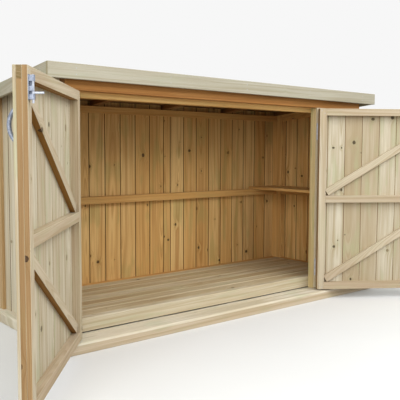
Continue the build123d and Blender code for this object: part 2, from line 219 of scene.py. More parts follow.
def new_group(name, colours, values):
    """A shader group that takes these colours and values, and gives a colour, a roughness and a height."""
    tree = bpy.data.node_groups.new(name, "ShaderNodeTree")
    wanted = [(socket, "INPUT", "Color") for socket in colours]
    wanted += [(socket, "INPUT", "Float") for socket in values]
    wanted += [("Color", "OUTPUT", "Color"), ("Roughness", "OUTPUT", "Float"), ("Height", "OUTPUT", "Float")]
    for socket, way, kind in wanted:
        tree.interface.new_socket(socket, in_out=way, socket_type=f"NodeSocket{kind}")
    return tree


def new_material(name, constants):
    """A material with plain numbers set on its shader's own sockets."""
    material = bpy.data.materials.new(name)
    material.use_nodes = True
    for key, value in constants.items():
        material.node_tree.nodes["Principled BSDF"].inputs[key].default_value = value
    return material


def surface(material, colour, roughness, height, strength, distance):
    """Feeds a material's shader with a colour, a roughness and a fine relief."""
    tree = material.node_tree
    shader = tree.nodes["Principled BSDF"]
    bump = put(tree, "ShaderNodeBump", {"Height": height, "Strength": strength, "Distance": distance})
    tree.links.new(colour, shader.inputs["Base Color"])
    tree.links.new(roughness, shader.inputs["Roughness"])
    tree.links.new(bump.outputs[0], shader.inputs["Normal"])


def softwood_group():
    """Sawn softwood from its place in the log: year rings, streaks, knots, treatment, end grain, and painted
    shade on marked sides.
    """
    colours = ("Pale", "Warm", "Streak", "Knot", "Treatment", "End")
    tree = new_group("sawn_softwood", colours, ("Knots", "Heartwood", "Treated"))
    given = tree.nodes.new("NodeGroupInput").outputs
    pale, warm, streak, branch, green, sawn = (given[name] for name in colours)
    calc, ease, over = partial(sum_of, tree), partial(ramp, tree), partial(tint, tree)
    times, scaled = partial(calc, "MULTIPLY"), partial(calc, "MULTIPLY_ADD")

    def pair(first, second):
        return put(tree, "ShaderNodeCombineXYZ", {"X": first, "Y": second}).outputs[0]

    def cloud(first, second, detail=2.0, rough=0.5):
        sockets = {"Vector": pair(first, second), "Scale": 1.0, "Detail": detail, "Roughness": rough}
        return put(tree, "ShaderNodeTexNoise", sockets, noise_dimensions="2D").outputs["Fac"]

    def parts(kind, value):
        return put(tree, kind, {0: value}).outputs[:3]

    board = put(tree, "ShaderNodeAttribute", attribute_name="Board")
    end = board.outputs["Alpha"]
    tone, warmth, mark = parts("ShaderNodeSeparateColor", board.outputs["Color"])
    log = put(tree, "ShaderNodeAttribute", attribute_name="Log").outputs["Vector"]
    u, log_y, log_z = parts("ShaderNodeSeparateXYZ", log)
    y = scaled(cloud(times(u, 1.3), 3.0), 0.022, log_y)
    z = scaled(cloud(times(u, 1.0), 9.0), 0.022, log_z)
    radius = calc("SQRT", calc("ADD", times(y, y), times(z, z)))
    angle = calc("ARCTAN2", z, y)

    # Knots: branches that leave the heart of the tree and widen outwards, dead and dark or live and brown
    knots_per_metre, knots_around, trail_length = 3.4, 0.9, 0.085
    grid = pair(times(u, knots_per_metre), times(angle, knots_around))
    sockets = {"Vector": grid, "Scale": 1.0, "Randomness": 0.9}
    cells = put(tree, "ShaderNodeTexVoronoi", sockets, voronoi_dimensions="2D").outputs
    centre = parts("ShaderNodeSeparateXYZ", cells["Position"])
    luck, vigour, age = parts("ShaderNodeSeparateColor", cells["Color"])
    off_u = calc("SUBTRACT", u, calc("DIVIDE", centre[0], knots_per_metre))
    off_a = times(calc("SUBTRACT", angle, calc("DIVIDE", centre[1], knots_around)), radius)
    size = scaled(times(vigour, vigour), 0.0066, 0.0028)
    size = times(size, scaled(radius, 7.0, 0.62))
    ragged = scaled(cloud(times(u, 170.0), times(off_a, 170.0)), 0.5, -0.25)
    reach = calc("ADD", calc("POWER", calc("DIVIDE", off_u, 1.35), 2.0), calc("POWER", off_a, 2.0))
    nearness = calc("ADD", calc("DIVIDE", calc("SQRT", reach), size), ragged)
    there = calc("LESS_THAN", luck, given["Knots"])
    dead = ease(age, 0.25, 0.6)
    knot = times(there, ease(nearness, 1.12, 0.82))
    rim = times(knot, ease(nearness, 0.62, 0.95))
    core = times(knot, ease(nearness, 0.42, 0.1))
    halo = times(calc("POWER", calc("DIVIDE", nearness, 2.4), 2.0), -1.0)
    halo = times(there, calc("EXPONENT", halo))
    trail = calc("POWER", calc("DIVIDE", off_u, trail_length), 2.0)
    trail = times(calc("ADD", trail, calc("POWER", calc("DIVIDE", off_a, size), 2.0)), -1.0)
    trail = times(there, calc("EXPONENT", trail))

    # Year rings bulge out along a branch, so that the figure arches and runs in eyes round the knots
    rings_per_metre = 235.0
    bulged = calc("ADD", radius, times(halo, times(size, 1.9)))
    slow = cloud(times(bulged, 55.0), times(u, 0.5))
    turn = calc("FRACT", calc("ADD", times(bulged, rings_per_metre), times(slow, 5.0)))
    late = times(ease(turn, 0.25, 0.88), ease(turn, 1.0, 0.90))
    fine = cloud(times(bulged, 520.0), times(u, 2.2), 3.0, 0.62)
    broad = cloud(times(bulged, 75.0), times(u, 0.8), 2.0, 0.55)
    patch = cloud(times(bulged, 22.0), times(u, 1.7), 3.0, 0.55)
    heart = ease(scaled(warmth, 0.75, times(patch, 0.5)), 0.62, 0.92)
    blush = scaled(tone, 0.5, times(patch, 0.75))
    moss = ease(cloud(times(u, 3.2), times(bulged, 26.0), 4.0), 0.50, 0.70)
    moss = calc("MAXIMUM", moss, times(halo, 0.7))
    flesh = over(scaled(dead, 0.55, 0.35), streak, branch)
    dark_knot_and_shade = over(1.0, branch, (0.42, 0.38, 0.36, 1.0), "MULTIPLY")
    colour = over(ease(blush, 0.28, 0.92, 0.0, 0.85), pale, warm)
    for share, layer in (
        (times(heart, given["Heartwood"]), warm),
        (ease(broad, 0.42, 0.72, 0.0, 0.55), streak),
        (times(late, ease(fine, 0.2, 0.8, 0.22, 0.55)), streak),
        (ease(fine, 0.52, 0.78, 0.0, 0.32), streak),
        (times(moss, given["Treated"]), green),
        (times(trail, 0.42), streak),
        (times(knot, 0.9), flesh),
        (times(rim, scaled(dead, 0.55, 0.25)), dark_knot_and_shade),
        (times(core, scaled(dead, 0.6, 0.1)), dark_knot_and_shade),
    ):
        colour = over(share, colour, layer)

    # Worn arrises are lighter, marked sides take a painted brown shade, the sides of a joint dark, the sill's
    # undercut dark as painted shade, the cut ends stained
    colour = over(ease(mark, 0.6, WORN, 0.0, 0.35), colour, pale)
    # Painted shade: the colour multiplied towards brown, mixed in on sides marked darker than plain
    painted_shade_tint = over(1.0, colour, (0.50, 0.27, 0.04, 1.0), "MULTIPLY")
    colour = over(ease(mark, 0.48, 0.27, 0.0, 0.95), colour, painted_shade_tint)
    # Dark joint sides, and painted shade in the sill's undercut
    colour = over(ease(mark, 0.2, JOINT_AND_SHADE, 0.0, 0.75), colour, dark_knot_and_shade)
    colour = over(end, colour, over(ease(late, 0.1, 0.9, 0.12, 0.8), sawn, streak))

    saw = cloud(times(u, 420.0), times(off_a, 14.0), 1.0)
    rough = scaled(fine, 0.14, scaled(knot, -0.16, 0.68))
    height = calc("ADD", times(fine, 0.45), times(late, 0.5))
    height = calc("ADD", scaled(saw, 0.3, height), times(knot, -0.3))
    put(tree, "NodeGroupOutput", {"Color": colour, "Roughness": rough, "Height": height})
    return tree


SOFTWOOD = softwood_group()


def softwood(name, pale, warm, streak, knot, treatment, end, knots, heartwood, treated):
    """A sawn timber finish with its own colours and its share of knots, heartwood and treatment."""
    material = new_material(name, {"Specular IOR Level": 0.25})
    sockets = {
        "Pale": srgb(*pale), "Warm": srgb(*warm), "Streak": srgb(*streak), "Knot": srgb(*knot),
        "Treatment": srgb(*treatment), "End": srgb(*end),
        "Knots": knots, "Heartwood": heartwood, "Treated": treated,
    }
    wood = put(material.node_tree, "ShaderNodeGroup", sockets, node_tree=SOFTWOOD)
    surface(material, *wood.outputs, strength=0.55, distance=0.0012)
    return material


base_timber = softwood(
    "base_timber", (222, 213, 194), (206, 190, 160), (178, 162, 128), (96, 72, 48), (184, 186, 154),
    (190, 172, 136), knots=0.24, heartwood=0.3, treated=0.4,
)
chance = random.Random(11)
base_x0, base_x1, front_y0, front_y1, ground, bearer_top = span("base_bearer_front")
back_y0, back_y1 = span("base_bearer_back")[2:4]
for name, way, outer, inner in (("front", 1, front_y0, front_y1), ("back", -1, -back_y1, -back_y0)):
    work = begin()
    # The outer face takes a painted shade, darker and browner.
    section = rounded(outer, inner, ground, bearer_top, BEARER_ROUND, BEARER_FACE_SHADE)
    place = Matrix.Scale(way, 4, (0, 1, 0))
    add_timber(work, place, section, base_x0, base_x1, chance, tone=0.2, warmth=0.1, pieces=8)
    finish_piece(work, f"bearer_{name}", base_timber, "base_timber", f"base_bearer_{name}")
for side, name in SIDES:
    work = begin()
    end_y0, end_y1 = span(f"base_bearer_{name}")[2:4]
    end_y0, end_y1 = end_y0 + JOINT_GAP, end_y1 - JOINT_GAP
    lying = rounded(base_x0, base_x0 + BEARER_WIDTH, ground, bearer_top, BEARER_ROUND)
    section = [(t, a, mark) for a, t, mark in lying]
    place = Matrix.Scale(-side, 4, (1, 0, 0)) @ ALONG_Y
    add_timber(work, place, section, end_y0, end_y1, chance, tone=0.1, warmth=0.0, pieces=4)
    finish_piece(work, f"bearer_{name}", base_timber, "base_timber", f"base_bearer_{name}")
work = begin()
half = CROSS_BEARER_WIDTH / 2
for x in CROSS_BEARERS:
    add_timber(work, ALONG_Y, squared(ground, bearer_top, x - half, x + half), end_y0, end_y1, chance)
finish_piece(work, "bearers_cross", base_timber, "base_timber", "base_bearers_cross")

# Floor: sawn joists across the bearers, softwood boards nailed down lengthwise with narrow gaps between
# them, and the planed sill along the doorway that the doors close against, undercut at its foot.
ALONG_X = Matrix.Identity(4)
JOIST_WIDTH = 45.0
FLOOR_BOARDS = 7
FLOOR_GAP = 3.5
FLOOR_EASE = 2.2
SILL_ROUND = 6.0
SHADOW_LINE = 7.0
SHADOW_DEPTH = 14.0
floor_timber = softwood(
    "floor_timber", (202, 189, 159), (182, 160, 121), (150, 124, 84), (72, 48, 28), (168, 166, 128),
    (154, 128, 88), knots=0.34, heartwood=0.5, treated=0.3,
)
sill_timber = softwood(
    "sill_timber", (202, 192, 168), (186, 167, 134), (162, 142, 106), (82, 58, 36), (168, 168, 132),
    (154, 130, 92), knots=0.26, heartwood=0.3, treated=0.35,
)
chance = random.Random(23)
floor_x0, floor_x1, floor_y0, floor_y1, board_bottom, floor_top = span("floor_boards")
end_joist = floor_x1 - JOIST_WIDTH / 2
joist_places = (-end_joist, *CROSS_BEARERS, end_joist)
floor_pitch = (floor_y1 - floor_y0) / FLOOR_BOARDS
work = begin()
for x in joist_places:
    section = squared(bearer_top, board_bottom, x - JOIST_WIDTH / 2, x + JOIST_WIDTH / 2)
    add_timber(work, ALONG_Y, section, floor_y0, floor_y1, chance)
finish_piece(work, "joists", floor_timber, "inner_timber", "floor_joists")
work = begin()
for row in range(FLOOR_BOARDS):
    y0 = floor_y0 + row * floor_pitch + FLOOR_GAP / 2
    section = squared(y0, y0 + floor_pitch - FLOOR_GAP, board_bottom, floor_top, FLOOR_EASE)
    add_timber(work, ALONG_X, section, floor_x0, floor_x1, chance, pieces=10, bow=0.8)
finish_piece(work, "floor_planks", floor_timber, "inner_timber", "floor_boards")
work = begin()
sill_x0, sill_x1, stop_y, post_back_y = span("sill_rail_front")[:4]
section = rounded(stop_y, post_back_y, bearer_top, floor_top, SILL_ROUND)
# The undercut's faces are coloured dark: painted shade that deepens the shadow line under the sill.
section[0] = (stop_y + SHADOW_DEPTH, bearer_top, FLAT)
section[-1] = (stop_y, bearer_top + SHADOW_LINE, JOINT_AND_SHADE)
section.append((stop_y + SHADOW_DEPTH, bearer_top + SHADOW_LINE, JOINT_AND_SHADE))
add_timber(work, ALONG_X, section, sill_x0, sill_x1, chance, tone=0.3, warmth=0.2, pieces=8)
finish_piece(work, "sill", sill_timber, "inner_timber", "sill_rail_front")

# Front posts, the head rail between them, the brown header board that hides the rafter ends, and the
# thin jamb that the left door hangs on: sawn timber, nailed, the header of darker heartwood. The head
# rail is bored from below for the rod of the bolt.
ALONG_Z = Matrix(((0, 1, 0, 0), (0, 0, 1, 0), (1, 0, 0, 0), (0, 0, 0, 1)))
ROOF_SLOPE = math.tan(math.radians(5.4))
RAFTER_DEPTH = 32.0
CLOSE_GAP = 0.2
BOLT_HOLE = (-236.25, -319.0)
BOLT_HOLE_RADIUS = 6.5
BOLT_HOLE_DEPTH = 27.0
frame_timber = softwood(
    "frame_timber", (221, 183, 120), (199, 153, 88), (159, 113, 60), (60, 36, 18), (168, 152, 96),
    (144, 108, 62), knots=0.4, heartwood=0.7, treated=0.2,
)
# Paler copy of frame_timber for the head rail: painted light, thrown up onto it from the ground.
rail_timber_painted_light = softwood(
    "rail_timber_painted_light", (236, 198, 130), (216, 170, 98), (176, 128, 70), (64, 38, 20), (178, 162, 102),
    (148, 112, 66), knots=0.3, heartwood=0.5, treated=0.2,
)
header_timber = softwood(
    "header_timber", (200, 150, 90), (176, 122, 64), (134, 86, 40), (54, 32, 14), (136, 106, 56),
    (120, 84, 44), knots=0.36, heartwood=0.8, treated=0.15,
)
chance = random.Random(31)
wall_x0, wall_x1, front_y, header_back, header_bottom, header_top = span("header_board")
deck_height = header_top + ROOF_SLOPE * front_y


def under_deck(y):
    """How high the roof boards' underside is, at a distance from front to back."""
    return deck_height - ROOF_SLOPE * y


def under_rafters(y):
    """How high the rafters' underside is, at the same distance."""
    return under_deck(y) - RAFTER_DEPTH


for _, name in SIDES:
    work = begin()
    post_x0, post_x1 = span(f"post_front_{name}")[:2]
    section = squared(post_x0, post_x1, stop_y, post_back_y)
    add_timber(work, ALONG_Z, section, bearer_top, lambda a, t: under_rafters(t), chance)
    finish_piece(work, f"post_{name}", frame_timber, "inner_timber", f"post_front_{name}")
work = begin()
rail_x0, rail_x1, rail_y0, rail_y1, rail_bottom, rail_top = span("head_rail_front")
section = squared(rail_y0, rail_y1, rail_bottom, rail_top)
slant = [(a, under_rafters(a) if t > rail_top - 2 else t, mark) for a, t, mark in section]
add_timber(work, ALONG_X, slant, rail_x0, rail_x1, chance, tone=0.1, warmth=0.1, pieces=8)
head_rail = finish_piece(work, "head_rail", rail_timber_painted_light, "inner_timber", "head_rail_front")
work = bmesh.new()
bmesh.ops.create_cone(
    work, cap_ends=True, segments=24, radius1=BOLT_HOLE_RADIUS * METRES, radius2=BOLT_HOLE_RADIUS * METRES,
    depth=2 * BOLT_HOLE_DEPTH * METRES, matrix=Matrix.Translation(Vector((*BOLT_HOLE, rail_bottom)) * METRES),
)
drill_mesh = bpy.data.meshes.new("drill")
work.to_mesh(drill_mesh)
work.free()
drill = bpy.data.objects.new("drill", drill_mesh)
bpy.context.collection.objects.link(drill)
cut = head_rail.modifiers.new("bolt_hole", "BOOLEAN")
cut.operation, cut.object = "DIFFERENCE", drill
evaluated = head_rail.evaluated_get(bpy.context.evaluated_depsgraph_get())
bored = bpy.data.meshes.new_from_object(evaluated)
head_rail.modifiers.clear()
head_rail.data = bored
bpy.data.objects.remove(drill)
work = begin()
section = squared(front_y, header_back, header_bottom, header_top)
slant = [(a, under_deck(a) - CLOSE_GAP if t > header_top - 9 else t, mark) for a, t, mark in section]
add_timber(work, ALONG_X, slant, wall_x0, wall_x1, chance, tone=0.7, warmth=0.8, pieces=10)
finish_piece(work, "header", header_timber, "header_timber", "header_board")
work = begin()
jamb_x0, jamb_x1 = span("jamb_left")[:2]
section = squared(jamb_x0, jamb_x1, front_y, stop_y, 1.0)
add_timber(work, ALONG_Z, section, bearer_top, header_bottom, chance)
finish_piece(work, "jamb", sill_timber, "header_timber", "jamb_left")

# Wall frames: sawn studs and rails, butted and nailed, that the boards are fixed to. They are golden
# where the light has not bleached them.
RAIL = 45.0
FALL = Matrix.Identity(4)
FALL[2][1] = -ROOF_SLOPE
stud_timber = softwood(
    "stud_timber", (220, 204, 156), (204, 178, 124), (166, 138, 86), (58, 40, 22), (160, 164, 112),
    (150, 120, 74), knots=0.4, heartwood=0.3, treated=0.6,
)
chance = random.Random(47)
_, side_x, back_frame_y0, back_board_y = span("back_panel_frame")[:4]
mid_rail_top = span("shelf_board")[4]
rail_heights = ((bearer_top, floor_top), (mid_rail_top - RAIL, mid_rail_top))
work = begin()
for x0 in (-side_x, side_x - RAIL):
    section = squared(x0, x0 + RAIL, back_frame_y0, back_board_y)
    add_timber(work, ALONG_Z, section, bearer_top, lambda a, t: under_rafters(t), chance)
inner_x = side_x - RAIL - JOINT_GAP
top_bottom = under_rafters(back_frame_y0) - RAIL
for z0, z1 in rail_heights + ((top_bottom, under_rafters(back_board_y)),):
    section = squared(back_frame_y0, back_board_y, z0, z1)
    add_timber(work, ALONG_X, section, -inner_x, inner_x, chance, warmth=0.8, pieces=8, bow=1.0)
finish_piece(work, "back_rails", frame_timber, "inner_timber", "back_panel_frame")
for _, name in SIDES:
    work = begin()
    x0, x1, y0, y1 = span(f"{name}_panel_frame")[:4]
    for near_y in (y0, y1 - RAIL):
        section = squared(x0, x1, near_y, near_y + RAIL)
        add_timber(work, ALONG_Z, section, bearer_top, lambda a, t: under_rafters(t), chance)
    inner_y0, inner_y1 = y0 + RAIL + JOINT_GAP, y1 - RAIL - JOINT_GAP
    for z0, z1 in rail_heights:
        add_timber(work, ALONG_Y, squared(z0, z1, x0, x1), inner_y0, inner_y1, chance)
    top = under_rafters(0)
    add_timber(work, FALL @ ALONG_Y, squared(top - RAIL, top, x0, x1), inner_y0, inner_y1, chance)
    finish_piece(work, f"{name}_rails", frame_timber, "inner_timber", f"{name}_panel_frame")
work = begin()
panel_x0, panel_x1, panel_y0, panel_y1 = span("fixed_panel_frame")[:4]
for x0 in (panel_x0, panel_x1 - RAIL):
    section = squared(x0, x0 + RAIL, panel_y0, panel_y1)
    add_timber(work, ALONG_Z, section, bearer_top, header_bottom, chance)
inner_x0, inner_x1 = panel_x0 + RAIL + JOINT_GAP, panel_x1 - RAIL - JOINT_GAP
for z0 in (mid_rail_top - RAIL, bearer_top, header_bottom - RAIL):
    add_timber(work, ALONG_X, squared(panel_y0, panel_y1, z0, z0 + RAIL), inner_x0, inner_x1, chance)
finish_piece(work, "fixed_panel_rails", stud_timber, "inner_timber", "fixed_panel_frame")

# Wall boards: 12 mm tongued and grooved softwood, 115 mm cover with a V along each joint, nailed upright
# to the rails; pale outside, more golden inside where they stay dry.
COVER = 115.0
FIRST_PANEL_COVER = 104.0
NARROWEST = 30.0
V_FACE = 3.2
V_BACK = 2.6
V_EDGE = 1.5
TONGUE = 4.0
HALF_TONGUE = 1.8
HALF_GROOVE = 2.2
GROOVE_SPARE = 0.6
END_WALL = Matrix(((0, 0, 1, 0), (0, 1, 0, 0), (1, 0, 0, 0), (0, 0, 0, 1)))
BACK_JOINTS = (-1034.0, -919.0, -804.0, -689.0, -574.0, -459.0, -344.0, -229.0, -114.0, 1.0, 59.0)
SIDE_JOINTS = {
    "left": (-273.0, -158.0, -43.0, 72.0, 187.0, 302.0),
    "right": (-284.5, -169.5, -54.5, 60.5, 175.5, 290.5),
}
wall_boards = softwood(
    "wall_boards", (222, 187, 126), (201, 156, 91), (160, 113, 58), (44, 26, 12), (152, 142, 82),
    (164, 138, 96), knots=0.6, heartwood=0.72, treated=0.4,
)
outer_boards = softwood(
    "outer_boards", (218, 210, 190), (200, 184, 152), (176, 158, 122), (66, 48, 28), (182, 183, 150),
    (182, 166, 134), knots=0.42, heartwood=0.4, treated=0.3,
)
chance = random.Random(59)


def tongued(a0, a1, face, back, first=False, last=False, groove=JOINT_AND_SHADE, v_back=V_BACK):
    """One board's section: V edges on both faces, a tongue on its far edge, a groove on its near one."""
    way = 1 if back > face else -1
    middle = (face + back) / 2
    tongue0, tongue1 = middle - HALF_TONGUE * way, middle + HALF_TONGUE * way
    groove0, groove1 = middle - HALF_GROOVE * way, middle + HALF_GROOVE * way
    a_near, a_far = a0 + (0.0 if first else JOINT_GAP), a1 - (0.0 if last else JOINT_GAP)
    near_side, far_side = FLAT if first else groove, FLAT if last else groove
    near_v, far_v = V_EDGE if first else V_FACE, V_EDGE if last else V_FACE
    section = [
        (a_near + near_v, face, FLAT), (a_far - far_v, face, far_side), (a_far, face + far_v * way, far_side),
    ]
    if not last:
        section += [
            (a_far, tongue0, JOINT_AND_SHADE), (a_far + TONGUE, tongue0, JOINT_AND_SHADE),
            (a_far + TONGUE, tongue1, JOINT_AND_SHADE), (a_far, tongue1, JOINT_AND_SHADE),
        ]
    section += [
        (a_far, back - v_back * way, far_side), (a_far - v_back, back, INNER),
        (a_near + v_back, back, near_side), (a_near, back - v_back * way, near_side),
    ]
    if not first:
        a_deep = a_near + TONGUE + GROOVE_SPARE
        section += [
            (a_near, groove1, JOINT_AND_SHADE), (a_deep, groove1, JOINT_AND_SHADE),
            (a_deep, groove0, JOINT_AND_SHADE), (a_near, groove0, JOINT_AND_SHADE),
        ]
    section.append((a_near, face + near_v * way, near_side))
    return section


def add_boards(
    work, place, edges, face, back, bottom, top, chance, groove=JOINT_AND_SHADE, v_back=V_BACK, tones=None, **looks
):
    """A run of boards between the given joints."""
    for number, (a0, a1) in enumerate(zip(edges, edges[1:])):
        ends = {"first": number == 0, "last": number == len(edges) - 2}
        section = tongued(a0, a1, face, back, groove=groove, v_back=v_back, **ends)
        if tones:
            looks["tone"] = tones[number]
        add_timber(work, place, section, bottom, top, chance, bow=0.15, **looks)


def finish_wall(work, name, node):
    """Wall boards, pale outside and golden on the face that looks into the store."""
    finish_piece(work, name, outer_boards, "outer_cladding", node, inside=wall_boards)


back_board_y1 = span("back_panel_cladding")[3]
back_joints = [wall_x0, *BACK_JOINTS]
while back_joints[-1] + COVER < wall_x1 - NARROWEST:
    back_joints.append(back_joints[-1] + COVER)
back_joints.append(wall_x1)
work = begin()
top = lambda a, t: under_deck(t)
add_boards(work, ALONG_Z, back_joints, back_board_y1, back_board_y, bearer_top, top, chance)
finish_wall(work, "back_boards", "back_panel_cladding")
side_joints = {}
for side, name in SIDES:
    work = begin()
    x0, x1, y0, y1 = span(f"{name}_panel_cladding")[:4]
    face, back = (x0, x1) if side < 0 else (x1, x0)
    side_joints[name] = [y0, *SIDE_JOINTS[name], y1]
    top = lambda a, t: under_deck(a)
    add_boards(work, END_WALL, side_joints[name], face, back, bearer_top, top, chance)
    finish_wall(work, f"{name}_boards", f"{name}_panel_cladding")
work = begin()
x0, x1, y0, y1 = span("fixed_panel_cladding")[:4]
panel_joints = [x0, *(x0 + FIRST_PANEL_COVER + COVER * number for number in range(3)), x1]
add_boards(work, ALONG_Z, panel_joints, y0, y1, bearer_top + SHADOW_LINE, header_bottom, chance)
finish_wall(work, "fixed_panel_boards", "fixed_panel_cladding")

# Corner trims: two planed softwood laths at each back corner, one on the end wall and one on the back,
# nailed over the ends of the boards.
TRIM_WIDTH = 45.0
trim_timber = softwood(
    "trim_timber", (204, 180, 140), (184, 152, 108), (152, 120, 76), (66, 42, 24), (172, 158, 114),
    (150, 122, 84), knots=0.3, heartwood=0.9, treated=0.1,
)
chance = random.Random(61)
trim_x1, _, trim_y1 = span("corner_trims")[1:4]
side_lath = squared(wall_x1, trim_x1, trim_y1 - TRIM_WIDTH, trim_y1)
back_lath = squared(trim_x1 - TRIM_WIDTH, wall_x1 - CLOSE_GAP, back_board_y1, trim_y1)
top = lambda a, t: under_deck(t) - CLOSE_GAP
work = begin()
for side, _ in SIDES:
    place = Matrix.Scale(side, 4, (1, 0, 0)) @ ALONG_Z
    for section in (side_lath, back_lath):
        add_timber(work, place, section, bearer_top, top, chance, warmth=0.9)
finish_piece(work, "corner_laths", trim_timber, "edge_timber", "corner_trims")

# Roof: rafters under thin lengthwise boards, mineral felt on top in two overlapping lengths, and wide
# sawn edge boards all round, nailed through their faces.
RAFTERS = 5
ROOF_BOARDS = 9
DECK_THICK = 12.0
EDGE_EASE = 1.8
BARGE_GAP = 0.1
FELT_THICK = 2.6
FELT_WAVE = 0.12
HALF_LAP = 40.0
roof_timber = softwood(
    "roof_timber", (150, 112, 66), (128, 90, 48), (100, 66, 32), (40, 24, 12), (112, 92, 50),
    (112, 80, 44), knots=0.4, heartwood=0.8, treated=0.2,
)
edge_timber = softwood(
    "edge_timber", (181, 176, 159), (168, 160, 139), (149, 139, 113), (74, 54, 34), (164, 167, 141),
    (160, 148, 115), knots=0.26, heartwood=0.25, treated=0.25,
)
chance = random.Random(71)
rafter_x0, rafter_x1, rafter_y0, rafter_y1 = span("rafters")[:4]
rafter_pitch = (rafter_x1 - rafter_x0 - RAIL) / (RAFTERS - 1)
rafter_places = [rafter_x0 + RAIL / 2 + number * rafter_pitch for number in range(RAFTERS)]
rafter_top = under_deck(0)
work = begin()
for x in rafter_places:
    section = squared(rafter_top - RAFTER_DEPTH, rafter_top, x - RAIL / 2, x + RAIL / 2)
    add_timber(work, FALL @ ALONG_Y, section, rafter_y0, rafter_y1, chance, warmth=0.8)
finish_piece(work, "rafter_timbers", roof_timber, "inner_timber", "rafters")
deck_x0, deck_x1, deck_y0, deck_y1 = span("roof_deck")[:4]
deck_pitch = (deck_y1 - deck_y0) / ROOF_BOARDS
deck_joints = [deck_y0 + number * deck_pitch for number in range(ROOF_BOARDS + 1)]
deck_top = rafter_top + DECK_THICK
work = begin()
add_boards(work, FALL, deck_joints, rafter_top, deck_top, deck_x0, deck_x1, chance, pieces=4)
finish_piece(work, "roof_boards", roof_timber, "outer_cladding", "roof_deck")

felt = new_material("roof_felt", {})
tree = felt.node_tree
at = put(tree, "ShaderNodeTexCoord").outputs["Object"]
chips = put(tree, "ShaderNodeTexVoronoi", {"Vector": at, "Scale": 900.0}).outputs["Color"]
chips = put(tree, "ShaderNodeSeparateColor", {0: chips}).outputs[0]
weather = put(tree, "ShaderNodeTexNoise", {"Vector": at, "Scale": 5.0, "Detail": 4.0}).outputs["Fac"]
colour = tint(tree, ramp(tree, chips, 0.1, 0.9), srgb(88, 98, 90), srgb(138, 146, 134))
colour = tint(tree, ramp(tree, weather, 0.35, 0.75, 0.0, 0.55), colour, srgb(96, 100, 88))
surface(felt, colour, ramp(tree, chips, 0.0, 1.0, 0.82, 0.98), chips, strength=0.7, distance=0.001)


def felt_length(work, y0, y1, lift, phase, columns=96, rows=12):
    """A length of felt, a fine grid with slight waves, closed below."""
    layers = []
    for height, wave in ((lift + FELT_THICK, FELT_WAVE), (lift, 0.0)):
        grid = []
        for row in range(rows + 1):
            y = y0 + (y1 - y0) * row / rows
            line = []
            for column in range(columns + 1):
                x = deck_x0 + (deck_x1 - deck_x0) * column / columns
                ripple = wave * math.sin(x * 0.021 + row) * math.sin(y * 0.03 + phase)
                z = under_deck(y) + DECK_THICK + height + ripple
                line.append(work.verts.new(Vector((x, y, z)) * METRES))
            grid.append(line)
        layers.append(grid)
    top, low = layers
    for row in range(rows):
        near, far, low_near, low_far = top[row], top[row + 1], low[row], low[row + 1]
        for i in range(columns):
            j = i + 1
            work.faces.new((near[i], near[j], far[j], far[i]))
            work.faces.new((low_near[i], low_far[i], low_far[j], low_near[j]))
    rim = [(0, c) for c in range(columns)] + [(r, columns) for r in range(rows)]
    rim += [(rows, c) for c in range(columns, 0, -1)] + [(r, 0) for r in range(rows, 0, -1)]
    for (r, c), (s, d) in zip(rim, rim[1:] + rim[:1]):
        work.faces.new((top[r][c], low[r][c], low[s][d], top[s][d]))


work = begin()
lap = (deck_y0 + deck_y1) / 2
felt_length(work, lap - HALF_LAP, deck_y1, lift=0.1, phase=1.0)
felt_length(work, deck_y0, lap + HALF_LAP, lift=2.8, phase=2.0)
finish_piece(work, "felt_lengths", felt, "roof_felt", "roof_felt")

for name, looks in (("front", {"tone": 0.35, "warmth": 0.2, "bow": 1.2}), ("back", {})):
    work = begin()
    x0, x1, y0, y1, z0, z1 = span(f"fascia_{name}")
    section = squared(y0, y1, z0, z1, EDGE_EASE)
    add_timber(work, ALONG_X, section, x0, x1, chance, pieces=10, **looks)
    finish_piece(work, f"fascia_{name}_board", edge_timber, "edge_timber", f"fascia_{name}")
for _, name in SIDES:
    work = begin()
    x0, x1, y0, y1, z0, z1 = span(f"barge_{name}")
    section = squared(z0 + ROOF_SLOPE * y1, z1 + ROOF_SLOPE * y0, x0, x1, EDGE_EASE)
    add_timber(work, FALL @ ALONG_Y, section, y0 + BARGE_GAP, y1 - BARGE_GAP, chance, warmth=0.3)
    finish_piece(work, f"barge_{name}_board", edge_timber, "edge_timber", f"barge_{name}")

# Shelf: one wide planed softwood board in the right-hand end, notched round the studs at its outer edge.
# It lies on the middle rails of the walls.
NOTCH = 46.0
NOTCH_GAP = 1.0
BOARD_SEAM = 0.1
chance = random.Random(83)
shelf_x0, shelf_x1, shelf_y0, shelf_y1, shelf_z0, shelf_z1 = span("shelf_board")
notch_x = side_x - NOTCH
notched_y0, notched_y1 = post_back_y + RAIL + NOTCH_GAP, back_frame_y0 - RAIL - NOTCH_GAP
work = begin()
for x0, x1, y0, y1 in (
    (shelf_x0, notch_x, shelf_y0, shelf_y1),
    (notch_x + BOARD_SEAM, shelf_x1, notched_y0, notched_y1),
):
    section = squared(shelf_z0, shelf_z1, x0, x1)
    add_timber(work, ALONG_Y, section, y0, y1, chance, tone=0.4, warmth=0.7, bow=0.0)
finish_piece(work, "shelf", frame_timber, "inner_timber", "shelf_board")

# Doors: a frame of 45 mm stiles and rails with half-lapped corners and two diagonal braces, screwed
# together, with tongued and grooved boards nailed over its outer face. Both stand open.
LEAF_WIDTH = 888.75
LEAF_BOTTOM = 63.0
LEAF_TOP = 1243.0
LEAF_THICK = 50.0
LEAF_BOARD = 12.0
MID_RAIL_TOP = 679.0
MEMBER = 45.0
BRACE_DEPTH = 26.0
HINGE_GAP = 5.0
PIN_OUT = 4.3
SHALLOW_GROOVE = 0.13
SHALLOW_V = 1.4
# Stile side marks: the leaf's outer edges browner wood plus painted shade, the inward sides painted shade
BROWN_EDGE_AND_SHADE = 0.337
STILE_SIDE_SHADE = 0.42
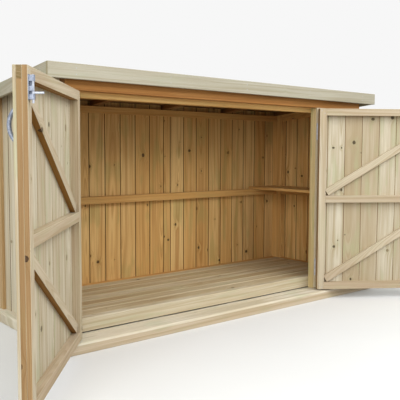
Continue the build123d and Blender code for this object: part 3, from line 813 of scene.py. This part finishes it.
# Which way each leaf lies from its hinges, the X of its pins, how far it stands open, and its board joints
LEAVES = {
    "left": (1, -1112.5, 129.2, (0.0, 70.0, 185.0, 300.0, 415.0, 530.0, 645.0, 760.0, LEAF_WIDTH)),
    "right": (-1, 676.0, 145.7, (0.0, 65.0, 180.0, 295.0, 410.0, 525.0, 645.0, 765.0, LEAF_WIDTH)),
}
BOARD_TONES = {
    "left": (0.35, 0.2, 0.1, 0.3, 0.05, 0.4, 0.2, 0.45),
    "right": (0.1, 0.15, 0.95, 0.7, 0.3, 0.5, 0.75, 0.2),
}
door_boards = softwood(
    "door_boards", (211, 203, 182), (174, 155, 124), (165, 146, 112), (60, 46, 26), (170, 172, 132),
    (178, 164, 132), knots=0.64, heartwood=0.4, treated=0.45,
)
door_frame = softwood(
    "door_frame", (203, 191, 166), (184, 161, 134), (162, 140, 106), (70, 48, 28), (182, 178, 142),
    (114, 94, 52), knots=0.27, heartwood=0.4, treated=0.25,
)


def leaf(name):
    """A leaf's side, its hinged edge when shut, the turn that opens it, and the joints of its boards."""
    side, pin_x, opening, joints = LEAVES[name]
    pin = Vector((pin_x, front_y - PIN_OUT, 0))
    turn = Matrix.Rotation(math.radians(-side * opening), 4, "Z")
    swing = Matrix.Translation(pin) @ turn @ Matrix.Translation(-pin)
    return side, pin_x + side * HINGE_GAP / 2, swing, joints


def add_brace(work, place, edge_x, side, bay_bottom, bay_top, chance):
    """A diagonal, square at its foot and cut to the frame's corner at its head."""
    foot_s, head_s = MEMBER + JOINT_GAP, LEAF_WIDTH - MEMBER - JOINT_GAP
    bottom, top = bay_bottom + JOINT_GAP, bay_top - JOINT_GAP
    angle = math.atan2(top - bottom, head_s - foot_s)
    for _ in range(20):
        foot_shift = MEMBER * math.sin(angle)
        head_drop = MEMBER / math.cos(angle)
        angle = math.atan2(top - bottom - head_drop, head_s - foot_s - foot_shift)
    lower_s = foot_s + foot_shift
    run, rise = math.cos(angle), math.sin(angle)
    tilt = Matrix((
        (side * run, -side * rise, 0, edge_x + side * lower_s),
        (0, 0, 1, front_y + LEAF_BOARD),
        (rise, run, 0, bottom),
        (0, 0, 0, 1),
    ))
    # Its lower side takes painted shade.
    section = squared(0.0, MEMBER, 0.0, BRACE_DEPTH, low=PAINTED_SHADE)
    head = lambda a, t: (head_s - lower_s + a * rise) / run
    add_timber(work, place @ tilt, section, 0.0, head, chance, tone=0.25, warmth=0.1, pieces=5)


for name, seed in (("left", 97), ("right", 101)):
    chance = random.Random(seed)
    body = f"door_{name}"
    side, edge_x, swing, joints = leaf(name)
    upright = swing @ ALONG_Z
    y0, y1 = front_y + LEAF_BOARD, front_y + LEAF_THICK
    lap_y = (y0 + y1) / 2
    work = begin()
    edges = sorted(edge_x + side * s for s in joints)
    add_boards(
        work, upright, edges, front_y, y0, LEAF_BOTTOM, LEAF_TOP, chance, pieces=5,
        groove=SHALLOW_GROOVE, v_back=SHALLOW_V, tones=BOARD_TONES[name][::side], warmth=0.2,
    )
    finish_piece(
        work, f"{name}_door_boards", door_boards, "outer_cladding", f"door_{name}_cladding", body=body
    )
    work = begin()
    for s0, s1 in ((0, MEMBER), (LEAF_WIDTH - MEMBER, LEAF_WIDTH)):
        a0, a1 = sorted((edge_x + side * s0, edge_x + side * s1))
        # The stiles' sides take painted shade: the inward side lightly, the leaf's outer edge more, as
        # browner wood too
        inward = STILE_SIDE_SHADE, BROWN_EDGE_AND_SHADE
        low, high = inward if (s0 > 0) == (side > 0) else inward[::-1]
        looks = {"tone": 0.3 * chance.random(), "warmth": 0.4 * chance.random(), "bow": 0.0, "pieces": 5}
        outer = squared(a0, a1, y0, lap_y, 0.3, low=low, high=high)
        inner = squared(a0, a1, lap_y, y1, 1.0, low=low, high=high)
        add_timber(work, upright, outer, LEAF_BOTTOM + MEMBER, LEAF_TOP - MEMBER, chance, **looks)
        add_timber(work, upright, inner, LEAF_BOTTOM, LEAF_TOP, chance, **looks)
    inset = MEMBER + JOINT_GAP
    inner0, inner1 = sorted((edge_x + side * inset, edge_x + side * (LEAF_WIDTH - inset)))
    outer0, outer1 = sorted((edge_x, edge_x + side * LEAF_WIDTH))
    for z, tone in ((LEAF_BOTTOM, 0.85), (LEAF_TOP - MEMBER, 0.5)):
        looks = {"tone": tone, "warmth": 0.3, "bow": 0.0}
        # Rail undersides take painted shade.
        outer = squared(y0, lap_y, z, z + MEMBER, 0.4, under=PAINTED_SHADE)
        inner = squared(lap_y, y1, z, z + MEMBER, 1.0, under=PAINTED_SHADE)
        add_timber(work, swing, outer, outer0, outer1, chance, **looks)
        add_timber(work, swing, inner, inner0, inner1, chance, **looks)
    section = squared(y0, y1, MID_RAIL_TOP - MEMBER, MID_RAIL_TOP)
    add_timber(work, swing, section, inner0, inner1, chance, tone=0.5, warmth=0.5)
    finish_piece(work, f"{name}_door_frame", door_frame, "inner_timber", f"door_{name}_frame", body=body)
    work = begin()
    add_brace(work, swing, edge_x, side, MID_RAIL_TOP, LEAF_TOP - MEMBER, chance)
    add_brace(work, swing, edge_x, side, LEAF_BOTTOM + MEMBER, MID_RAIL_TOP - MEMBER, chance)
    finish_piece(work, f"{name}_door_braces", door_frame, "inner_timber", f"door_{name}_braces", body=body)

# Hardware: butt hinges, tower bolt and its rod of zinc-plated steel, dull and slightly mottled, and the
# zinc-plated nails that hold the store's boards, floor, edge boards and trims.
HEAD_CREASE = 40
NAIL_INSET = 22.0
NAIL = ((2.1, -0.6), (2.1, 0.1), (1.4, 0.45), (0.0, 0.55))


def zinc_group():
    """Zinc plating: faint spangle, handled smears and a soft shine."""
    tree = new_group("zinc_plating", ("Light", "Dark", "Smear"), ())
    given = tree.nodes.new("NodeGroupInput").outputs
    at = put(tree, "ShaderNodeTexCoord").outputs["Object"]
    spangle = put(tree, "ShaderNodeTexVoronoi", {"Vector": at, "Scale": 260.0}).outputs["Color"]
    spangle = put(tree, "ShaderNodeSeparateColor", {0: spangle}).outputs[0]
    smears = put(tree, "ShaderNodeTexNoise", {"Vector": at, "Scale": 60.0, "Detail": 5.0}).outputs["Fac"]
    colour = tint(tree, ramp(tree, spangle, 0.0, 1.0), given["Dark"], given["Light"])
    colour = tint(tree, ramp(tree, smears, 0.45, 0.75, 0.0, 0.5), colour, given["Smear"])
    rough = ramp(tree, smears, 0.2, 0.8, 0.40, 0.60)
    put(tree, "NodeGroupOutput", {"Color": colour, "Roughness": rough, "Height": smears})
    return tree


ZINC = zinc_group()


def zinc_plate(name, light, dark, smear, metallic):
    """A zinc-plated finish with its own colours."""
    material = new_material(name, {"Metallic": metallic})
    sockets = {"Light": srgb(*light), "Dark": srgb(*dark), "Smear": srgb(*smear)}
    plating = put(material.node_tree, "ShaderNodeGroup", sockets, node_tree=ZINC)
    surface(material, *plating.outputs, strength=0.2, distance=0.0006)
    return material


def skin(work, rings):
    """Faces from each ring of points to the next."""
    for first, second in zip(rings, rings[1:]):
        for i in range(len(first)):
            j = (i + 1) % len(first)
            work.faces.new((first[i], first[j], second[j], second[i]))


def add_turned(work, at, outward, profile, sides=10):
    """A nail or screw head, turned about the way that it points."""
    turn = Vector(outward).to_track_quat("Z", "Y").to_matrix()
    rings = []
    for radius, height in profile[:-1]:
        ring = []
        for step in range(sides):
            angle = 2 * math.pi * step / sides
            spot = Vector((radius * math.cos(angle), radius * math.sin(angle), height))
            ring.append(work.verts.new((Vector(at) + turn @ spot) * METRES))
        rings.append(ring)
    skin(work, rings)
    tip = work.verts.new((Vector(at) + turn @ Vector((0, 0, profile[-1][1]))) * METRES)
    for i in range(sides):
        work.faces.new((rings[-1][i], rings[-1][(i + 1) % sides], tip))
    work.faces.new(rings[0][::-1])


def pairs(edges, inset=26.0):
    """Two nails to a board, a little in from its edges, or one in a narrow board."""
    for a0, a1 in zip(edges, edges[1:]):
        if a1 - a0 < 2.4 * inset:
            yield (a0 + a1) / 2
        else:
            yield a0 + inset
            yield a1 - inset


zinc = zinc_plate("zinc_steel", (196, 201, 211), (178, 183, 194), (150, 154, 164), 0.5)
dull_zinc = zinc_plate("dull_zinc", (150, 157, 172), (126, 133, 148), (98, 104, 118), 0.45)
hardware = {
    "hinges_fixed": zinc, "door_left_hinges": zinc, "door_right_hinges": zinc, "bolt_rod": zinc,
    "bolt_housing": dull_zinc,
}
for node, finish in hardware.items():
    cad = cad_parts[node]
    cad.data.materials.clear()
    cad.data.materials.append(finish)

work = bmesh.new()
low_rail, middle_rail = bearer_top + 32, MID_RAIL_TOP - MEMBER / 2
for x in pairs(back_joints):
    for z in (low_rail, middle_rail, under_rafters(back_board_y) - NAIL_INSET):
        add_turned(work, (x, back_board_y1, z), (0, 1, 0), NAIL)
for side, name in SIDES:
    for y in pairs(side_joints[name]):
        for z in (low_rail, middle_rail, under_rafters(y) - NAIL_INSET):
            add_turned(work, (side * wall_x1, y, z), (side, 0, 0), NAIL)
for x in pairs(panel_joints):
    for z in (bearer_top + NAIL_INSET, middle_rail, header_bottom - NAIL_INSET):
        add_turned(work, (x, front_y, z), (0, -1, 0), NAIL)
for x in joist_places:
    for y in pairs([floor_y0 + floor_pitch * row for row in range(FLOOR_BOARDS + 1)], 20.0):
        add_turned(work, (x, y, floor_top), (0, 0, 1), NAIL)
fascias = ((-1, span("fascia_front")), (1, span("fascia_back")))
for x in rafter_places:
    for share in (0.3, 0.7):
        for way, (_, _, y0, y1, z0, z1) in fascias:
            add_turned(work, (x, y1 if way > 0 else y0, z0 + share * (z1 - z0)), (0, way, 0), NAIL)
for side, name in SIDES:
    x0, x1, y0, y1, _, z1 = span(f"barge_{name}")
    for y in (y0 + 60, y0 + 330, y1 - 330, y1 - 60):
        for drop in (NAIL_INSET, 50):
            z = z1 - ROOF_SLOPE * (y - y0) - drop
            add_turned(work, (x1 if side > 0 else x0, y, z), (side, 0, 0), NAIL)
for z in range(110, 1200, 200):
    for side, _ in SIDES:
        add_turned(work, (side * trim_x1, trim_y1 - NAIL_INSET, z), (side, 0, 0), NAIL)
        add_turned(work, (side * (trim_x1 - 25), trim_y1, z + 60), (0, 1, 0), NAIL)
finish_piece(work, "store_nails", zinc, "zinc_steel", crease=HEAD_CREASE)

# Screws and nails of the doors: the boards are nailed to the frame from outside, its halved corners and
# the hinge flaps are screwed, and the bolt's plate has six small screws.
SCREW = ((3.9, -0.6), (3.9, 0.2), (3.5, 0.45), (1.5, 0.35), (1.1, -0.5), (0.0, -0.7))
SMALL_SCREW = tuple((radius * 0.62, height) for radius, height in SCREW)
HINGE_HEIGHTS = (1096.0, 202.0)
FLAP_THICK = 1.8
BOLT_PLATE = 2
BOLT_FROM_EDGE = 15


def add_flap_screws(work, place, hinged_x, way, outward):
    """Six screws in two staggered rows through one flap of each hinge."""
    for z in HINGE_HEIGHTS:
        for s, stagger in ((12.0, 0), (24.0, 6)):
            for rise in (-40.0, 0.0, 40.0):
                spot = Vector((hinged_x + way * s, front_y - FLAP_THICK, z + rise + stagger))
                add_turned(work, place @ spot, outward, SCREW)


for name in LEAVES:
    side, edge_x, swing, joints = leaf(name)
    outward = swing.to_3x3() @ Vector((0, -1, 0))
    low_middle, high_middle = LEAF_BOTTOM + MEMBER / 2, LEAF_TOP - MEMBER / 2
    work = bmesh.new()
    for s in pairs(joints):
        for z in (low_middle, middle_rail, high_middle):
            add_turned(work, swing @ Vector((edge_x + side * s, front_y, z)), outward, NAIL)
    for s in (MEMBER / 2, LEAF_WIDTH - MEMBER / 2):
        for z in (low_middle, high_middle):
            for step in (-10, 10):
                x = edge_x + side * (s + step)
                spot = Vector((x, front_y + LEAF_THICK, z + step * side * 0.8))
                add_turned(work, swing @ spot, -outward, SMALL_SCREW)
    add_flap_screws(work, swing, edge_x, side, outward)
    if name == "left":
        for step in (-10.2, 10.2):
            for z in (1135.5, 1171.0, 1206.5):
                x = edge_x + LEAF_WIDTH - BOLT_FROM_EDGE + step
                spot = Vector((x, front_y + LEAF_THICK + BOLT_PLATE, z))
                add_turned(work, swing @ spot, -outward, SMALL_SCREW)
    finish_piece(work, f"{name}_door_screws", zinc, "zinc_steel", body=f"door_{name}", crease=HEAD_CREASE)
work = bmesh.new()
add_flap_screws(work, ALONG_X, panel_x0, 1, (0, -1, 0))
finish_piece(work, "fixed_hinge_screws", zinc, "zinc_steel", crease=HEAD_CREASE)

# Bow handle on the left door's outer face: round zinc-plated bar bent to an arc, with pressed feet that
# are screwed to the boards.
HANDLE_FROM_EDGE = 60.0
HANDLE_CENTRE = LEAF_BOTTOM + 986.0
HANDLE_HALF_SPAN = 63.0
HANDLE_RISE = 28.0
HANDLE_BAR = 6.0
HANDLE_SWELL = 1.8
HALF_BEND = 16
BAR_SIDES = 16
FOOT_WIDTH, FOOT_HEIGHT, FOOT_THICK, FOOT_CENTRE = 24.0, 35.0, 3.0, 68.5
FOOT_ROUND = FOOT_WIDTH / 3
_, edge_x, swing, _ = leaf("left")
outward = swing.to_3x3() @ Vector((0, -1, 0))
handle_x = edge_x + LEAF_WIDTH - HANDLE_FROM_EDGE
foot_face = front_y - FOOT_THICK
bend = (HANDLE_HALF_SPAN ** 2 + HANDLE_RISE ** 2) / (2 * HANDLE_RISE)
sweep = math.asin(HANDLE_HALF_SPAN / bend) * 1.04
work = bmesh.new()
rings = []
for step in range(2 * HALF_BEND + 1):
    along = step / HALF_BEND - 1
    angle = sweep * along
    y = foot_face + bend - HANDLE_RISE - bend * math.cos(angle)
    middle = Vector((handle_x, y, bend * math.sin(angle)))
    middle.z += HANDLE_CENTRE
    outer = Vector((0, -math.cos(angle), math.sin(angle)))
    bar = HANDLE_BAR + HANDLE_SWELL * (1 - along ** 2)
    ring = []
    for turn in range(BAR_SIDES):
        around = 2 * math.pi * turn / BAR_SIDES
        spot = middle + outer * bar * math.cos(around) + Vector((bar * math.sin(around), 0, 0))
        ring.append(work.verts.new(swing @ spot * METRES))
    rings.append(ring)
skin(work, rings)
work.faces.new(rings[0][::-1])
work.faces.new(rings[-1])
for end in (-1, 1):
    foot_z = HANDLE_CENTRE + end * FOOT_CENTRE
    layers = []
    for inset, y in ((0.0, front_y), (0.0, foot_face + 0.8), (0.9, foot_face)):
        ring = []
        radius = FOOT_ROUND - inset
        for corner_x, corner_z, start in ((1, 1, 0), (-1, 1, 90), (-1, -1, 180), (1, -1, 270)):
            for step in range(7):
                angle = math.radians(start + step * 15)
                x = corner_x * (FOOT_WIDTH / 2 - FOOT_ROUND) + radius * math.cos(angle)
                z = corner_z * (FOOT_HEIGHT / 2 - FOOT_ROUND) + radius * math.sin(angle)
                ring.append(work.verts.new(swing @ Vector((handle_x + x, y, foot_z + z)) * METRES))
        layers.append(ring)
    skin(work, layers)
    work.faces.new(layers[-1])
    work.faces.new(layers[0][::-1])
    for step in (-7, 7):
        spot = Vector((handle_x + step, foot_face, HANDLE_CENTRE + end * (FOOT_CENTRE + 11)))
        add_turned(work, swing @ spot, outward, SMALL_SCREW)
finish_piece(
    work, "bow_handle", dull_zinc, "zinc_steel", "door_left_handle", body="door_left", crease=HEAD_CREASE
)

# Camera at the photograph's angle, in front of the left-hand end and a little under a metre up. It looks
# slightly down, at the doorway.
camera_data = bpy.data.cameras.new("camera")
camera_data.sensor_width = 36.0
camera_data.lens = 55.62
camera_data.shift_x = -0.00175
camera_data.shift_y = -0.005
yaw, pitch, roll = math.radians(50.59), math.radians(-4.28), math.radians(0.20)
ahead = Vector((math.cos(pitch) * math.cos(yaw), math.cos(pitch) * math.sin(yaw), math.sin(pitch)))
right = ahead.cross(Vector((0, 0, 1))).normalized()
up = right.cross(ahead)
right, up = right * math.cos(roll) + up * math.sin(roll), up * math.cos(roll) - right * math.sin(roll)
camera = bpy.data.objects.new("camera", camera_data)
bpy.context.collection.objects.link(camera)
camera.matrix_world = Matrix((right, up, -ahead)).transposed().to_4x4()
camera.matrix_world.translation = Vector((-2.488, -3.0415, 0.962))
bpy.context.scene.camera = camera

# Plain pale paper floor and soft studio light: a bright sky all round, a broad lamp from the front right
# and a weaker one from the front left.
work = bmesh.new()
bmesh.ops.create_grid(work, x_segments=8, y_segments=8, size=40.0)
floor_mesh = bpy.data.meshes.new("studio_floor")
work.to_mesh(floor_mesh)
work.free()
studio_floor = bpy.data.objects.new("studio_floor", floor_mesh)
studio_floor.location.z = -0.0008
bpy.context.collection.objects.link(studio_floor)


def seen_directly(tree):
    """One where the camera looks, straight, in a mirror or through glass, and nought where light bounces."""
    rays = put(tree, "ShaderNodeLightPath").outputs
    seen = sum_of(tree, "MAXIMUM", rays["Is Camera Ray"], rays["Is Glossy Ray"])
    return sum_of(tree, "MAXIMUM", seen, rays["Is Transmission Ray"])


paper = new_material("studio_floor", {"Roughness": 0.9})
tree = paper.node_tree
at = put(tree, "ShaderNodeTexCoord").outputs["Object"]
mottle = put(tree, "ShaderNodeTexNoise", {"Vector": at, "Scale": 1.5, "Detail": 3.0}).outputs["Fac"]
pale_floor = tint(tree, mottle, srgb(222, 221, 218), srgb(228, 227, 224))
floor_colour = tint(tree, seen_directly(tree), srgb(160, 153, 143), pale_floor)
tree.links.new(floor_colour, tree.nodes["Principled BSDF"].inputs["Base Color"])
floor_mesh.materials.append(paper)

world = bpy.data.worlds.new("studio")
bpy.context.scene.world = world
world.use_nodes = True
tree = world.node_tree
at = put(tree, "ShaderNodeTexCoord").outputs["Generated"]
height = put(tree, "ShaderNodeSeparateXYZ", {0: at}).outputs[2]
strength = ramp(tree, height, -0.1, 0.9, 0.90, 1.08)
sky = put(tree, "ShaderNodeBackground", {"Color": (0.93, 0.97, 1.0, 1.0), "Strength": strength})
backdrop = put(tree, "ShaderNodeBackground", {"Color": (0.93, 0.93, 0.93, 1.0), "Strength": 1.0})
sockets = {0: seen_directly(tree), 1: sky.outputs[0], 2: backdrop.outputs[0]}
mixed = put(tree, "ShaderNodeMixShader", sockets)
tree.links.new(mixed.outputs[0], tree.nodes["World Output"].inputs["Surface"])

for name, place, aim, size, power in (
    ("key_lamp", (1.8, -5.8, 5.6), (0.0, 0.0, 0.6), 5.0, 335.0),
    ("fill_lamp", (-5.5, -4.5, 2.6), (-0.4, 0.0, 0.6), 4.0, 200.0),
):
    lamp_data = bpy.data.lights.new(name, "AREA")
    lamp_data.size = size
    lamp_data.energy = power
    lamp = bpy.data.objects.new(name, lamp_data)
    lamp.location = place
    lamp.rotation_euler = (Vector(aim) - Vector(place)).to_track_quat("-Z", "Y").to_euler()
    bpy.context.collection.objects.link(lamp)

bpy.context.scene.view_settings.view_transform = "Standard"
